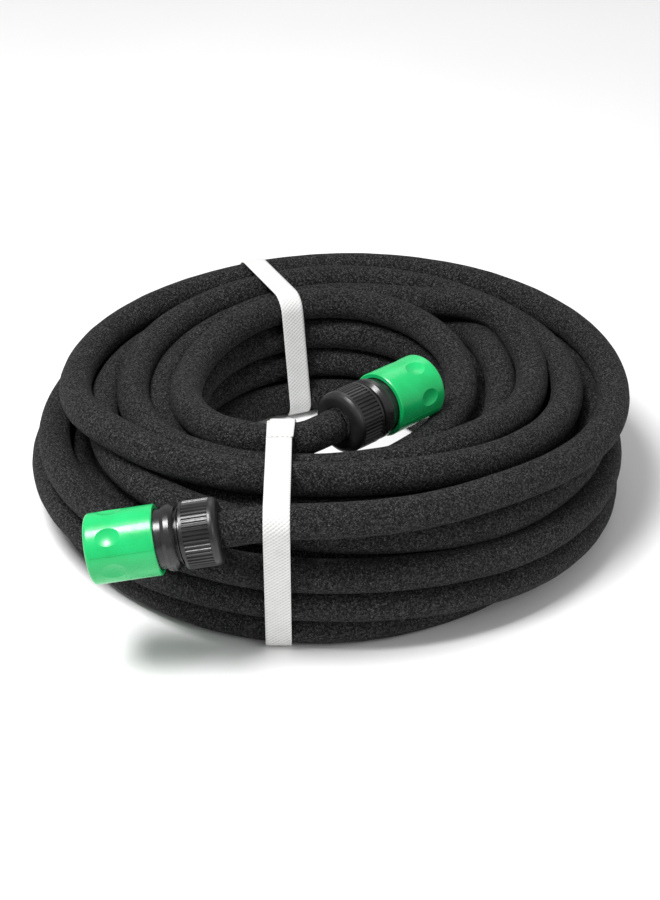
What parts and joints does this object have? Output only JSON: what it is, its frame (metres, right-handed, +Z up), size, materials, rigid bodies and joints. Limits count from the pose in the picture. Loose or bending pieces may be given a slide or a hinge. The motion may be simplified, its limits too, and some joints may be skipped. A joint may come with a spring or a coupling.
{
  "type": "soaker hose",
  "caption": "Porous soaker hose wound in a round coil, tied with white straps, with a click connector and ribbed clamp nut on each end.",
  "frame": {"origin": "on the floor under the middle of the whole object, 8.5 mm in front of the coil's axis", "axes": "+Z up along the coil's axis, -Y towards the side where the outer connector lies, +X to the right when looking along +Y"},
  "size_m": [0.32, 0.337, 0.0931],
  "materials": {
    "porous_hose": "matt, granular crumb rubber",
    "strap": "white woven band, slight sheen",
    "connector_body": "semi-gloss black moulding",
    "clamp_nut": "semi-gloss black moulding with ribs",
    "claw": "matt black moulding",
    "release_sleeve": "smooth bright green moulding",
    "seal": "soft smooth rubber",
    "spring": "drawn stainless wire"
  },
  "bodies": {
    "hose": {"hose_coil": "porous_hose", "outer_lead": "porous_hose", "inner_lead": "porous_hose", "front_strap": "strap", "rear_strap": "strap", "outer_body": "connector_body", "outer_hose_end": "porous_hose", "outer_seal": "seal", "outer_claw_ring": "claw", "outer_spring": "spring", "inner_body": "connector_body", "inner_hose_end": "porous_hose", "inner_seal": "seal", "inner_claw_ring": "claw", "inner_spring": "spring"},
    "outer_release": {"outer_sleeve": "release_sleeve"},
    "outer_grip": {"outer_grip_ring": "claw"},
    "outer_clamp": {"outer_nut": "clamp_nut"},
    "inner_release": {"inner_sleeve": "release_sleeve"},
    "inner_grip": {"inner_grip_ring": "claw"},
    "inner_clamp": {"inner_nut": "clamp_nut"}
  },
  "joints": [
    {"name": "outer_sleeve_pull", "type": "slide", "parent": "hose", "child": "outer_release", "axis": [0.9848, 0, 0.1736], "range_m": [0, 0.0032], "stiffness_N_per_m": 1500, "springref_m": -0.004, "deforming": ["outer_spring"]},
    {"name": "outer_grip_travel", "type": "slide", "parent": "hose", "child": "outer_grip", "axis": [0.9848, 0, 0.1736], "range_m": [0, 0.0075]},
    {"name": "outer_nut_turn", "type": "hinge", "parent": "outer_grip", "child": "outer_clamp", "pos_m": [-0.05, -0.1515, 0.0745], "axis": [0.9848, 0, 0.1736], "range_deg": [0, 901]},
    {"name": "inner_sleeve_pull", "type": "slide", "parent": "hose", "child": "inner_release", "axis": [-0.6937, -0.7184, 0.0523], "range_m": [0, 0.0032], "stiffness_N_per_m": 1500, "springref_m": -0.004, "deforming": ["inner_spring"]},
    {"name": "inner_grip_travel", "type": "slide", "parent": "hose", "child": "inner_grip", "axis": [-0.6937, -0.7184, 0.0523], "range_m": [0, 0.0075]},
    {"name": "inner_nut_turn", "type": "hinge", "parent": "inner_grip", "child": "inner_clamp", "pos_m": [0.005, -0.0585, 0.077], "axis": [-0.6937, -0.7184, 0.0523], "range_deg": [0, 901]}
  ],
  "couplings": [
    {"joint": "outer_nut_turn", "follows": "outer_grip_travel", "rad_per_m": 2094.4},
    {"joint": "inner_nut_turn", "follows": "inner_grip_travel", "rad_per_m": 2094.4}
  ]
}
